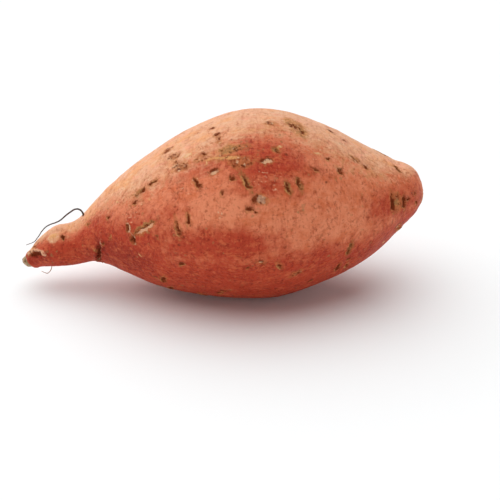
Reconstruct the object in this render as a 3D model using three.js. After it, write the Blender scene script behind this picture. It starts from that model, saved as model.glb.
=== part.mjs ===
// A whole sweet potato: one swollen storage root that grew as a single piece, with two dry hair roots.
//
// Millimetres, +Z up. The root lies on its belly with its long axis along X: the thin tail, ending in a
// stub with a flat cut face, points along -X, and the blunt crown points along +X.
// The origin is on the resting surface, under the middle of the whole object's box.

import * as THREE from "three";

// ---- Driving dimensions ----

const LENGTH = 180; // from the cut face of the tail to the end of the crown
const BELLY_RADIUS = 42; // half the height of the thickest section
const WIDTH_SHARE = 1.07; // the body is this much wider than high, so it lies steadily
const REST_DEPTH = 0.7; // how much of the belly is pressed flat where it rests
const CUT_RIM = 0.5; // rounding where the cut face meets the skin
const CROWN_TAPER = 32; // degrees that the skin slopes in where the dome of the crown takes over
const CROWN_DEPTH = 1.05; // 1 is a round dome, more is a longer one
const GAP = 0.35; // least clear space between the skin and the edge of a hair root's foot
const FOOT_DIP = 1.06; // the most that the edge of a foot dips to the skin, as a share of its radius

const RINGS = 68; // rings along the body, ends not counted
const CROWN_RINGS = 6; // rings over the crown
const SIDES = 44; // sides of each ring of the body
const HAIR_RINGS = 26; // rings along a hair root
const HAIR_SIDES = 6;

// Stations down the root. along is a share of LENGTH from the tail. rise, the height of the centre,
// back, its shift away from the front, and radius, the half height, are shares of BELLY_RADIUS. lean is
// how far the section tips over towards the tail, in degrees.
const STATIONS = [
  { along: 0.024, rise: 0.28, back: 0, radius: 0.066, lean: 42 }, // cut face of the stub
  { along: 0.042, rise: 0.325, back: 0, radius: 0.096, lean: 24 },
  { along: 0.064, rise: 0.4, back: 0, radius: 0.146, lean: 10 },
  { along: 0.1, rise: 0.475, back: 0, radius: 0.21, lean: 0 }, // swelling of the stub
  { along: 0.15, rise: 0.51, back: 0.01, radius: 0.232, lean: 0 }, // waist
  { along: 0.2, rise: 0.65, back: 0.01, radius: 0.32, lean: 0 }, // shoulder of the body
  { along: 0.25, rise: 0.74, back: 0, radius: 0.458, lean: 0 },
  { along: 0.35, rise: 0.82, back: -0.03, radius: 0.707, lean: 0 },
  { along: 0.45, rise: 0.917, back: -0.05, radius: 0.872, lean: 0 },
  { along: 0.55, rise: 0.98, back: -0.05, radius: 0.964, lean: 0 }, // belly, the thickest section
  { along: 0.65, rise: 0.98, back: -0.02, radius: 0.957, lean: 0 },
  { along: 0.75, rise: 0.96, back: 0.03, radius: 0.825, lean: 0 },
  { along: 0.85, rise: 0.935, back: 0.08, radius: 0.617, lean: 0 },
  { along: 0.91, rise: 0.965, back: 0.11, radius: 0.46, lean: 0 },
  { along: 0.957, rise: 1.06, back: 0.13, radius: 0.315, lean: 5 }, // foot of the crown's dome
];

// Shallow flutes round the body: the lobes round a section, their depth as a share of its radius, and
// the turn of the first ridge, with its drift from the tail to the crown.
const FLUTES = [
  { lobes: 3, depth: 0.018, turn: 0.19, drift: -0.1 },
  { lobes: 5, depth: 0.009, turn: 0.05, drift: 0.08 },
];

// Hair roots. station counts along STATIONS, turn goes round the section from the back over the top,
// and route lists offsets from the foot.
const HAIR_ROOTS = {
  // Rises from the top of the waist, arches over and trails above the stub towards its cut face.
  hair_root_long: {
    station: 4.29,
    turn: 0.27,
    footRadius: 0.5,
    tipRadius: 0.2,
    route: [
      [-0.6, 0, 2.4],
      [-2.9, 0, 3.7],
      [-6.4, 0, 1.8],
      [-10.7, 0, -1.6],
      [-15.7, 0, -3.7],
      [-17.9, 0, -6.2],
      [-19.6, 0, -9.6],
      [-21.4, 0, -12.2],
      [-24.8, 0, -13.9],
    ],
  },
  // A short curl under the stub.
  hair_root_curl: {
    station: 2.6,
    turn: 0.75,
    footRadius: 0.3,
    tipRadius: 0.15,
    route: [
      [-0.2, 0, -1.2],
      [-1.4, 0, -2.6],
      [-3.2, 0, -3.4],
      [-4.9, 0, -3.2],
    ],
  },
};

// ---- Shape of the root ----

const centreLine = new THREE.CatmullRomCurve3(
  STATIONS.map(
    ({ along, rise, back }) =>
      new THREE.Vector3(along * LENGTH, back * BELLY_RADIUS, rise * BELLY_RADIUS),
  ),
  false,
  "catmullrom",
);
const girth = new THREE.SplineCurve(
  STATIONS.map(({ radius, lean }) => new THREE.Vector2(radius * BELLY_RADIUS, lean)),
);

// The section at a share t of the stations: its centre, the directions that span it, and its radius.
function sectionAt(t) {
  const { x: radius, y: lean } = girth.getPoint(t);
  const forward = new THREE.Vector3(1, 0, 0);
  const up = new THREE.Vector3(0, 0, 1);
  const tip = THREE.MathUtils.degToRad(-lean);
  forward.applyAxisAngle(new THREE.Vector3(0, 1, 0), tip);
  up.applyAxisAngle(new THREE.Vector3(0, 1, 0), tip);
  return { t, centre: centreLine.getPoint(t), forward, up, radius };
}

// A copy of a section moved forward, with its radius changed.
function shifted(section, distance, radius) {
  const centre = section.centre.clone().addScaledVector(section.forward, distance);
  return { ...section, centre, radius };
}

// How far the flutes push the skin out at a turn round the section, as a factor of its radius.
function fluted(t, turn) {
  const waves = FLUTES.map(
    ({ lobes, depth, turn: ridge, drift }) =>
      depth * Math.cos(2 * Math.PI * lobes * (turn - ridge - drift * t)),
  );
  return waves.reduce((total, wave) => total + wave, 1);
}

// A point of the skin. turn 0 is the back, 0.25 the top, 0.5 the front and 0.75 the belly.
function skinPoint({ t, centre, up, radius }, turn) {
  const reach = radius * fluted(t, turn);
  const across = reach * WIDTH_SHARE * Math.cos(2 * Math.PI * turn);
  const point = centre.clone().addScaledVector(up, reach * Math.sin(2 * Math.PI * turn));
  point.y += across;
  return point;
}

// A section of the dome that closes the crown, at a share from its foot on the neck to its end. The dome
// is part of a sphere, stretched by CROWN_DEPTH, that meets the neck at the body's own taper.
function domeSection(neck, share) {
  const taper = THREE.MathUtils.degToRad(CROWN_TAPER);
  const sphere = neck.radius / Math.cos(taper);
  const angle = THREE.MathUtils.lerp(taper, Math.PI / 2, share);
  const distance = CROWN_DEPTH * sphere * (Math.sin(angle) - Math.sin(taper));
  return shifted(neck, distance, sphere * Math.cos(angle));
}

// The sections from tail to crown: over the rim of the cut face, along the body and over the crown.
function rootSections() {
  const body = Array.from({ length: RINGS + 1 }, (_, i) => sectionAt(i / RINGS));
  const [cut] = body;
  const rim = shifted(cut, -CUT_RIM, cut.radius - CUT_RIM);
  const crown = Array.from({ length: CROWN_RINGS }, (_, i) =>
    domeSection(body[RINGS], (i + 1) / (CROWN_RINGS + 1)),
  );
  return [rim, ...body, ...crown];
}

// ---- Closed loft ----

// Joins rings of points, each with the same number of points, into one closed body with a pole at each
// end. Seen along the path, the points of a ring go round anticlockwise.
function loft(rings, firstPole, lastPole) {
  const sides = rings[0].length;
  const points = [firstPole, ...rings.flat(), lastPole];
  const lastRing = rings.length - 1;
  const at = (ring, side) => 1 + ring * sides + (side % sides);
  const faces = [];
  for (let side = 0; side < sides; side += 1) {
    faces.push(0, at(0, side + 1), at(0, side));
    faces.push(points.length - 1, at(lastRing, side), at(lastRing, side + 1));
    for (let ring = 0; ring < lastRing; ring += 1) {
      const [a, b] = [at(ring, side), at(ring, side + 1)];
      const [c, d] = [at(ring + 1, side), at(ring + 1, side + 1)];
      faces.push(a, b, c, b, d, c);
    }
  }
  const geometry = new THREE.BufferGeometry().setFromPoints(points);
  geometry.setIndex(faces);
  geometry.computeVertexNormals();
  return geometry;
}

// The root, lowered until REST_DEPTH of its belly is under the resting surface, where it is flat.
function rootGeometry() {
  const sections = rootSections();
  const rings = sections.map((section) =>
    Array.from({ length: SIDES }, (_, side) => skinPoint(section, side / SIDES)),
  );
  const crownEnd = domeSection(sections[RINGS + 1], 1).centre;
  const geometry = loft(rings, sections[0].centre, crownEnd);
  geometry.computeBoundingBox();
  const lowering = geometry.boundingBox.min.z + REST_DEPTH;
  geometry.translate(0, 0, -lowering);
  const { position } = geometry.attributes;
  for (let i = 0; i < position.count; i += 1) {
    position.setZ(i, Math.max(position.getZ(i), 0));
  }
  geometry.computeVertexNormals();
  return { geometry, lowering };
}

// ---- Hair roots ----

// A hair root thins from its foot, just clear of the skin, to its tip.
function hairGeometry({ station, turn, route, footRadius, tipRadius }) {
  const section = sectionAt(station / (STATIONS.length - 1));
  const skin = skinPoint(section, turn);
  const outward = skin.clone().sub(section.centre).normalize();
  const foot = skin.addScaledVector(outward, GAP + FOOT_DIP * footRadius);
  const path = new THREE.CatmullRomCurve3([
    foot,
    ...route.map(([x, y, z]) => foot.clone().add(new THREE.Vector3(x, y, z))),
  ]);
  const { normals, binormals } = path.computeFrenetFrames(HAIR_RINGS, false);
  const rings = path.getSpacedPoints(HAIR_RINGS).map((centre, ring) => {
    const radius = THREE.MathUtils.lerp(footRadius, tipRadius, ring / HAIR_RINGS);
    return Array.from({ length: HAIR_SIDES }, (_, side) => {
      const angle = (2 * Math.PI * side) / HAIR_SIDES;
      return centre
        .clone()
        .addScaledVector(normals[ring], radius * Math.cos(angle))
        .addScaledVector(binormals[ring], radius * Math.sin(angle));
    });
  });
  return loft(rings, path.getPoint(0), path.getPoint(1));
}

// ---- Assembly ----

const skinMaterial = new THREE.MeshStandardMaterial({
  name: "skin",
  color: new THREE.Color(0.78, 0.43, 0.3),
  roughness: 0.6,
  metalness: 0,
});
const hairMaterial = new THREE.MeshStandardMaterial({
  name: "dry_root",
  color: new THREE.Color(0.22, 0.14, 0.1),
  roughness: 0.8,
  metalness: 0,
});

function namedMesh(name, geometry, material) {
  const mesh = new THREE.Mesh(geometry, material);
  mesh.name = name;
  return mesh;
}

const { geometry: skin, lowering } = rootGeometry();
const sweetPotato = new THREE.Group();
sweetPotato.add(namedMesh("storage_root", skin, skinMaterial));
for (const [name, hair] of Object.entries(HAIR_ROOTS)) {
  const mesh = namedMesh(name, hairGeometry(hair), hairMaterial);
  mesh.position.z = -lowering;
  sweetPotato.add(mesh);
}

// The stations start at the tail, so the group is shifted until its box stands over the origin.
const middle = new THREE.Box3().setFromObject(sweetPotato, true).getCenter(new THREE.Vector3());
sweetPotato.position.set(-middle.x, -middle.y, 0);

const part = new THREE.Group();
part.add(sweetPotato);

export default part;
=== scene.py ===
import math
import random
from collections import namedtuple

import bmesh
import bpy
import numpy as np
from bpy.props import FloatProperty, FloatVectorProperty, IntProperty, PointerProperty
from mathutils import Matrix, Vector, noise
from mathutils.bvhtree import BVHTree


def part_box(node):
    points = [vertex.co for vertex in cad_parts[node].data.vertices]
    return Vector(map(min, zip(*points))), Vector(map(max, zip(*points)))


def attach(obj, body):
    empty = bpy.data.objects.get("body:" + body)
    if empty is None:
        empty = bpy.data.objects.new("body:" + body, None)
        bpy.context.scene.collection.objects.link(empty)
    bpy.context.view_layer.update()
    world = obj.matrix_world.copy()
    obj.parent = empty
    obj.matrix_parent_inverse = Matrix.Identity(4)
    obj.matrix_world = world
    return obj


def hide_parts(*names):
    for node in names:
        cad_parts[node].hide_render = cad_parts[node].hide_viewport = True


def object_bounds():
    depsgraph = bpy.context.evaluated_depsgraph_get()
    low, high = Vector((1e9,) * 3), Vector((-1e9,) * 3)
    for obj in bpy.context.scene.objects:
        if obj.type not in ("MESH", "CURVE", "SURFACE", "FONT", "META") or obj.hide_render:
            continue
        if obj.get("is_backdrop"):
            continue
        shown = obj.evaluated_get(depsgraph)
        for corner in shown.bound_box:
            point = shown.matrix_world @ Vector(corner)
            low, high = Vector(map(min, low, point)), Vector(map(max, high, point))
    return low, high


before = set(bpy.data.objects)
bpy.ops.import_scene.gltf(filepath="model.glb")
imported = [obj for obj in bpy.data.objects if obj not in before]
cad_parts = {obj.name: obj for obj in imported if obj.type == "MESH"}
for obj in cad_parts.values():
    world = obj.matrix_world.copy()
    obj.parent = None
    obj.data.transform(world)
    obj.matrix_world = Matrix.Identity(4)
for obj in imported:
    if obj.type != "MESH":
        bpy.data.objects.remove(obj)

bl_info = {
    "name": "Sweet Potato",
    "version": (1, 0, 0),
    "blender": (4, 5, 0),
    "location": "View3D > Sidebar > Sweet Potato",
    "description": "Builds a whole sweet potato, with its scars and hair roots, and a plain stage for it",
    "category": "Object",
}

CAD_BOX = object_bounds()
ROOT_LOW, ROOT_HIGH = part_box("storage_root")
LENGTH = ROOT_HIGH.x - ROOT_LOW.x
MM = 0.001
TURN = 2 * math.pi


# ---- Settings ----


def colour(name, description, default):
    """A colour setting, in linear red, green and blue."""
    return FloatVectorProperty(
        name=name, description=description, subtype="COLOR", size=3, min=0, max=1, default=default
    )


def distance(name, description, default):
    """A length setting, in metres."""
    return FloatProperty(name=name, description=description, unit="LENGTH", default=default)


class SkinSettings(bpy.types.PropertyGroup):
    lump_size: distance("Lump size", "Width of the broad lumps of the skin", 0.026)
    lump_height: distance("Lump height", "Height of the broad lumps of the skin", 0.00055)
    dent_size: distance("Dent size", "Width of the small dents between the lumps", 0.009)
    dent_height: distance("Dent height", "Height of the small dents", 0.00016)
    fold_size: distance("Fold size", "Width of the fine folds of the skin", 0.0032)
    fold_height: distance("Fold height", "Height of the fine folds", 0.00009)
    ring_height: distance("Ring height", "Depth of the faint growth rings round the root", 0.00007)
    stray_marks: IntProperty(name="Stray marks", description="Marks on the back and belly", default=54)
    seed: IntProperty(name="Seed", description="Places the stray marks", default=7)
    flesh_tone: colour("Skin", "Colour of most of the skin", (0.66, 0.15, 0.055))
    # The redder colour, also laid as painted shade on the underside.
    flush: colour("Flush", "Colour of the redder parts of the skin", (0.47, 0.045, 0.016))
    # The paler colour of the top, partly paler skin and partly painted light from above.
    peach: colour("Peach", "Colour of the paler skin along the top", (0.84, 0.43, 0.25))
    apricot: colour("Apricot", "Colour of the warmer patches of the paler skin", (0.86, 0.36, 0.13))
    # The pinker strokes on the pale top, partly a painted pinkish sheen.
    blush: colour("Blush", "Colour of the pinker patches of the paler skin", (0.88, 0.36, 0.23))
    rose: colour("Rose", "Colour of the lighter streaks", (0.8, 0.26, 0.13))
    tan: colour("Tan", "Colour of weathered skin", (0.6, 0.24, 0.08))
    cork: colour("Cork", "Colour of the lips of scars", (0.85, 0.53, 0.32))
    straw: colour("Straw", "Colour of dried yellowish skin", (0.76, 0.37, 0.13))
    crust: colour("Crust", "Colour of the scab", (0.46, 0.27, 0.18))
    olive: colour("Scrape", "Colour of the scraped patch", (0.34, 0.18, 0.065))
    # The pit colour also carries painted shade: at the upper edges of scars and pits, in creases and under
    # the peel.
    dark: colour("Pit", "Colour inside pits and slits", (0.17, 0.026, 0.005))
    mould: colour("Mould", "Colour of the stains on the cut face", (0.28, 0.19, 0.085))
    cut: colour("Cut", "Colour of the cut face of the tail", (0.58, 0.41, 0.27))


class HairSettings(bpy.types.PropertyGroup):
    foot_radius: distance("Foot radius", "Radius of the long hair root at its foot", 0.00042)
    tip_radius: distance("Tip radius", "Radius of a hair root at its tip", 0.00013)
    wobble: distance("Wobble", "How far a hair root strays from its path", 0.0003)
    colour_dark: colour("Dark root", "Colour of the long hair root", (0.05, 0.018, 0.01))
    colour_pale: colour("Pale root", "Colour of the curl", (0.42, 0.27, 0.17))


class StageSettings(bpy.types.PropertyGroup):
    elevation: FloatProperty(
        name="Camera height", description="Angle of the camera above the floor", subtype="ANGLE",
        default=math.radians(24),
    )
    lens: FloatProperty(name="Lens", description="Focal length in millimetres", default=102)
    floor: colour("Floor", "Colour of the floor", (0.95, 0.965, 0.97))
    room_light: FloatProperty(name="Room light", description="Light from all round", default=0.15)
    overhead_light: FloatProperty(name="Overhead light", description="Light from above", default=2.85)
    overhead_spread: FloatProperty(
        name="Overhead spread", description="Width of the overhead light as an angle", subtype="ANGLE",
        default=math.radians(100),
    )


# ---- The root's surface, as rings round its centre line ----

# A ring is a fan of rays from a point of the centre line. lean tips the fan over towards the tail, and
# cone is the angle between its rays and the way forward: 90 degrees is a flat section.
Ring = namedtuple("Ring", "along lean cone sides")

FULL_SIDES = 352
HALF_SIDES, QUARTER_SIDES, EIGHTH_SIDES = FULL_SIDES // 2, FULL_SIDES // 4, FULL_SIDES // 8
CAP_LEAN = math.radians(42)
CAP_ALONG = 0.041  # where the rays of the cut face start, as a share of the length
LEAN_ENDS = 0.11
TAIL_ENDS = 0.235  # where the rings change from the tail's to the body's
DOME_ALONG = 0.92
CAP_RINGS, TAIL_RINGS, BODY_RINGS, DOME_RINGS = 26, 82, 186, 38
COARSE_RINGS = 8  # rings at the start of the cut face, and of the tail, that have half the sides
DOME_SIDES = ((10, FULL_SIDES), (24, HALF_SIDES), (33, QUARTER_SIDES), (DOME_RINGS, EIGHTH_SIDES))
MIDDLE = 0.55  # the share of the length where the root is thickest
FACET_SMOOTHING = 5  # columns of the grid that a facet's smoothing spreads over
RING_SMOOTHING = 9


def smooth_step(value, low, high):
    share = np.clip((value - low) / (high - low), 0, 1)
    return share * share * (3 - 2 * share)


def ring_plan():
    """The rings from the middle of the cut face to the end of the crown."""
    quarter = math.pi / 2
    plan = []
    for i in range(1, CAP_RINGS):
        cone = math.pi - quarter * i / CAP_RINGS
        sides = EIGHTH_SIDES if i < COARSE_RINGS else QUARTER_SIDES
        plan.append(Ring(CAP_ALONG, CAP_LEAN, cone, sides))
    for i in range(TAIL_RINGS):
        along = CAP_ALONG + (TAIL_ENDS - CAP_ALONG) * i / TAIL_RINGS
        lean = CAP_LEAN * (1 - smooth_step(along, CAP_ALONG, LEAN_ENDS))
        plan.append(Ring(along, lean, quarter, QUARTER_SIDES if i < COARSE_RINGS else HALF_SIDES))
    for i in range(BODY_RINGS):
        plan.append(Ring(TAIL_ENDS + (DOME_ALONG - TAIL_ENDS) * i / BODY_RINGS, 0, quarter, FULL_SIDES))
    for i in range(DOME_RINGS):
        sides = next(count for end, count in DOME_SIDES if i < end)
        plan.append(Ring(DOME_ALONG, 0, quarter * (1 - i / DOME_RINGS), sides))
    return plan


def merged_tree(node):
    """A ray-casting tree of a CAD node's surface, with its doubled points merged."""
    mesh = bmesh.new()
    mesh.from_mesh(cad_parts[node].data)
    bmesh.ops.remove_doubles(mesh, verts=mesh.verts, dist=1e-6)
    tree = BVHTree.FromBMesh(mesh)
    mesh.free()
    return tree


def reach(tree, origin, direction):
    """Where a ray from inside the surface meets it."""
    hit = tree.ray_cast(origin, direction)[0]
    if hit is None:
        raise RuntimeError(f"a ray from {tuple(origin)} leaves the root without meeting its skin")
    return hit


def centre_line(tree):
    """Heights and sideways shifts of the middle of the root's sections, by their share of the length."""
    shares = np.linspace(0.035, 0.97, 120)
    middle = Vector((0, 0, (ROOT_LOW.z + ROOT_HIGH.z) / 2))
    found = {}
    for side in (1, -1):
        guess = middle.copy()
        outwards = sorted((s for s in shares if (s - MIDDLE) * side >= 0), key=lambda s: abs(s - MIDDLE))
        for share in outwards:
            guess.x = ROOT_LOW.x + share * LENGTH
            for axis in (Vector((0, 0, 1)), Vector((0, 1, 0))):
                guess = (reach(tree, guess, axis) + reach(tree, guess, -axis)) / 2
            found[share] = (guess.y, guess.z)
    return np.array([(share, *found[share]) for share in sorted(found)])


def surface_grid(tree, plan):
    """Points of the skin, one row for each ring and one column for each turn."""
    line = centre_line(tree)
    turns = np.arange(FULL_SIDES) / FULL_SIDES * TURN
    grid = np.empty((len(plan), FULL_SIDES, 3))
    origins = np.empty((len(plan), 3))
    for row, ring in enumerate(plan):
        y, z = (np.interp(ring.along, line[:, 0], line[:, k]) for k in (1, 2))
        origin = Vector((ROOT_LOW.x + ring.along * LENGTH, y, z))
        forward = Vector((math.cos(ring.lean), 0, math.sin(ring.lean)))
        up = Vector((-math.sin(ring.lean), 0, math.cos(ring.lean)))
        for column, turn in enumerate(turns):
            outward = Vector((0, math.cos(turn), 0)) + up * math.sin(turn)
            ray = forward * math.cos(ring.cone) + outward * math.sin(ring.cone)
            grid[row, column] = reach(tree, origin, ray)
        origins[row] = origin
    return grid, origins


def smoothed_round(grid, passes):
    """The grid with the facets round each ring smoothed away."""
    for _ in range(passes):
        grid = (np.roll(grid, 1, 1) + 2 * grid + np.roll(grid, -1, 1)) / 4
    return grid


def smoothed_along(grid, passes, share):
    """The grid with the facets from ring to ring smoothed away, each row by its share."""
    share = share[:, None, None]
    for _ in range(passes):
        around = np.concatenate([grid[:1], grid, grid[-1:]])
        grid = grid + share * ((around[:-2] + 2 * grid + around[2:]) / 4 - grid)
    return grid


def grid_normals(grid):
    """Unit normals of the grid's points, facing out."""
    along = np.gradient(grid, axis=0)
    round_ring = np.roll(grid, -1, 1) - np.roll(grid, 1, 1)
    normals = np.cross(along, round_ring)
    normals /= np.maximum(np.linalg.norm(normals, axis=2, keepdims=True), 1e-12)
    return -normals if normals[len(grid) // 2, FULL_SIDES // 4, 2] < 0 else normals


class Skin:
    """The root's smooth surface, and the relief and the marks that grow on it."""

    def __init__(self):
        tree = merged_tree("storage_root")
        self.plan = ring_plan()
        grid, origins = surface_grid(tree, self.plan)
        rows = np.arange(len(self.plan))
        body = smooth_step(rows, CAP_RINGS + 2, CAP_RINGS + 30)
        grid = smoothed_along(smoothed_round(grid, 2 * FACET_SMOOTHING**2), 2 * RING_SMOOTHING, body)
        self.grid, self.normals = grid, grid_normals(grid)
        self.along = (grid[:, :, 0] - ROOT_LOW.x) / LENGTH
        section = grid - origins[:, None, :]
        self.turn = np.arctan2(section[:, :, 2], section[:, :, 1]) / TURN % 1
        self.girth = np.linalg.norm(section, axis=2)
        self.height = np.zeros(grid.shape[:2])
        self.fields = {}

    def noise(self, size, seed=0, stretch=1.0):
        """Smooth noise between about -1 and 1, with lumps this wide, drawn out along the root."""
        shift = Vector((seed * 7.31, seed * 3.17, seed * 5.77))
        scale = Vector((1 / (size * stretch), 1 / size, 1 / size))
        flat = self.grid.reshape(-1, 3)
        values = [noise.noise(Vector(p) * scale + shift) for p in flat]
        return np.array(values).reshape(self.height.shape)

    def round_root(self, turn):
        """How far each point is round the root from a turn, in metres."""
        drift = np.abs(self.turn - turn)
        return np.minimum(drift, 1 - drift) * TURN * self.girth

    def place(self, along, turn):
        """The grid's row and column nearest to a place on the skin."""
        gap = (LENGTH * (self.along - along)) ** 2 + self.round_root(turn) ** 2
        return np.unravel_index(np.argmin(gap), gap.shape)

    def local(self, along, turn, slant):
        """Coordinates in millimetres of every point of the skin, along and across a mark's length."""
        row, column = self.place(along, turn)
        centre, normal = self.grid[row, column], self.normals[row, column]
        forward = np.array([1.0, 0, 0])
        forward -= normal * (normal @ forward)
        forward /= np.linalg.norm(forward)
        onward = np.cross(forward, normal) * -1
        around = self.grid[row, (column + 1) % FULL_SIDES] - centre
        if onward @ around < 0:
            onward = -onward
        angle = math.radians(slant)
        length_way = forward * math.cos(angle) + onward * math.sin(angle)
        width_way = onward * math.cos(angle) - forward * math.sin(angle)
        offset = (self.grid - centre) / MM
        facing = self.normals @ normal > 0.2
        near = (np.linalg.norm(offset, axis=2) < 60) & facing
        long, wide = offset @ length_way, offset @ width_way
        return np.where(near, long, 1e3), np.where(near, wide, 1e3)

    def oval(self, blush):
        """How far each point is from the middle of a blush, as a share of its length or width."""
        long = (self.along - blush.along) * LENGTH / MM
        return np.hypot(long / blush.length, self.round_root(blush.turn) / MM / blush.width)

    def raise_to(self, name, values):
        """Keeps the higher of a field and new values, at each point."""
        if name in self.fields:
            values = np.maximum(self.fields[name], values)
        self.fields[name] = values


# ---- Marks on the skin ----

# A mark lies at a share of the length and a turn round the section, which goes from the back over the
# top to the front and the belly. Its length and width are in millimetres, and its slant in degrees
# from the root's axis.
Mark = namedtuple("Mark", "kind along turn length width slant")

# Pits, slits and scars, from the tail to the crown.
MARKS = [Mark(*row) for row in (
    ("hollow", 0.043, 0.465, 7.8, 3.4, -2), ("smear", 0.03, 0.36, 8.0, 4.5, -10),
    ("knob", 0.088, 0.36, 6.4, 5.0, -10), ("pit", 0.112, 0.384, 1.3, 1.9, 0),
    ("smear", 0.176, 0.379, 4.0, 1.6, 10), ("crease", 0.203, 0.585, 17, 2.4, 96),
    ("smear", 0.197, 0.54, 3.0, 2.4, 60), ("pit", 0.219, 0.51, 1.4, 1.2, 0),
    ("pit", 0.232, 0.412, 1.8, 1.3, 70), ("smear", 0.236, 0.48, 2.4, 1.6, 80),
    ("fleck", 0.253, 0.365, 1.6, 0.9, 20), ("hole", 0.283, 0.455, 3.1, 1.5, 74),
    ("hole", 0.295, 0.486, 3.4, 2.5, 70), ("pit", 0.299, 0.392, 2.2, 1.6, 10),
    ("fleck", 0.307, 0.529, 1.6, 0.8, 70), ("chain", 0.309, 0.365, 6.0, 1.8, -6),
    ("peel", 0.322, 0.457, 9.0, 3.0, -27), ("fleck", 0.336, 0.392, 1.6, 1.0, 0),
    ("chain", 0.343, 0.352, 4.6, 2.2, -12), ("smear", 0.354, 0.477, 2.6, 0.7, 30),
    ("freckles", 0.374, 0.272, 7.0, 3.5, 10), ("freckles", 0.395, 0.307, 7.0, 4.0, 0),
    ("freckles", 0.396, 0.332, 4.0, 4.0, 0), ("gouge", 0.404, 0.464, 6.2, 2.0, 74),
    ("fleck", 0.426, 0.322, 4.2, 2.2, -10), ("freckles", 0.412, 0.345, 9.0, 5.0, 0),
    ("freckles", 0.455, 0.345, 8.0, 3.0, 0), ("gouge", 0.432, 0.453, 4.2, 2.2, 82),
    ("gouge", 0.447, 0.389, 4.8, 2.0, 62), ("pit", 0.464, 0.334, 1.7, 1.3, 0),
    ("fleck", 0.469, 0.355, 2.8, 0.8, 85), ("pit", 0.483, 0.266, 1.5, 1.2, 0),
    ("scar", 0.49, 0.378, 4.2, 2.2, -12), ("pit", 0.492, 0.295, 1.8, 1.5, 40),
    ("freckles", 0.501, 0.315, 7.0, 2.4, 80), ("flecks", 0.504, 0.448, 8.5, 1.8, 92),
    ("pit", 0.508, 0.419, 2.0, 1.5, 80), ("scrape", 0.522, 0.341, 7.4, 3.6, -12),
    ("freckles", 0.548, 0.341, 9.0, 4.0, -14), ("streak", 0.513, 0.355, 16.5, 1.5, 7),
    ("freckles", 0.506, 0.351, 6.0, 3.6, 30), ("freckles", 0.552, 0.37, 10.0, 6.0, 0),
    ("pit", 0.528, 0.394, 2.2, 1.6, 20), ("slit", 0.564, 0.403, 7.2, 2.1, 62),
    ("pit", 0.569, 0.445, 2.6, 2.0, 10), ("pit", 0.585, 0.453, 1.3, 1.0, 0),
    ("scab", 0.597, 0.431, 5.2, 3.6, 8), ("fleck", 0.601, 0.3, 2.8, 1.0, -30),
    ("scar", 0.61, 0.37, 4.6, 2.7, -16), ("freckles", 0.621, 0.282, 6.0, 4.0, 0),
    ("chain", 0.632, 0.347, 3.8, 2.8, 60), ("fleck", 0.639, 0.339, 2.0, 1.1, 0),
    ("slit", 0.659, 0.413, 5.2, 2.3, 66), ("weathered", 0.68, 0.28, 13, 7.0, 60),
    ("chain", 0.691, 0.286, 7.0, 3.2, 70), ("slit", 0.684, 0.406, 4.6, 1.9, 67),
    ("pit", 0.725, 0.379, 2.3, 1.0, 16), ("fleck", 0.73, 0.342, 3.4, 0.9, 0),
    ("pit", 0.754, 0.349, 1.4, 1.1, 0), ("pit", 0.764, 0.241, 2.0, 1.4, 40),
    ("pit", 0.782, 0.372, 2.2, 1.5, 0), ("pit", 0.8, 0.262, 1.4, 1.1, 0),
    ("freckles", 0.824, 0.323, 5.0, 3.4, 0), ("pit", 0.848, 0.342, 1.3, 1.0, 0),
    ("gouge", 0.914, 0.447, 7.8, 2.8, 79), ("smear", 0.925, 0.45, 9.0, 7.0, 79),
    ("pit", 0.941, 0.436, 2.4, 1.8, 80), ("pit", 0.951, 0.443, 1.8, 1.6, 30),
    ("slit", 0.933, 0.298, 4.4, 1.4, 66), ("gouge", 0.943, 0.458, 4.4, 2.2, 75),
    ("pit", 0.974, 0.41, 1.2, 1.0, 0), ("pit", 0.976, 0.47, 1.4, 1.1, 60),
    ("crinkles", 0.615, 0.4, 17, 9, -4), ("crinkles", 0.46, 0.395, 20, 8, -8),
    ("crinkles", 0.71, 0.345, 16, 5, 2), ("crinkles", 0.29, 0.42, 14, 7, -20),
    ("stem_scar", 1.0, 0.0, 7, 6, 0), ("scar", 0.975, 0.95, 4.6, 3.0, 30),
    ("hole", 0.965, 0.06, 2.6, 2.0, 80),
)]

# How far the pale top reaches down the front, as turns against shares of the length, and
# how sharply it ends there. The pale top is partly paler skin and partly painted light from above.
PALE_EDGE_ALONG = (0, 0.1, 0.2, 0.3, 0.36, 0.49, 0.57, 0.62, 0.69, 0.76, 0.86, 0.95, 1)
PALE_EDGE_TURN = (0.31, 0.345, 0.346, 0.368, 0.352, 0.335, 0.308, 0.295, 0.312, 0.33, 0.35, 0.325, 0.2)
PALE_EDGE_SHARPNESS = (16, 16, 15, 16, 18, 20, 30, 30, 22, 18, 15, 14, 14)
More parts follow.
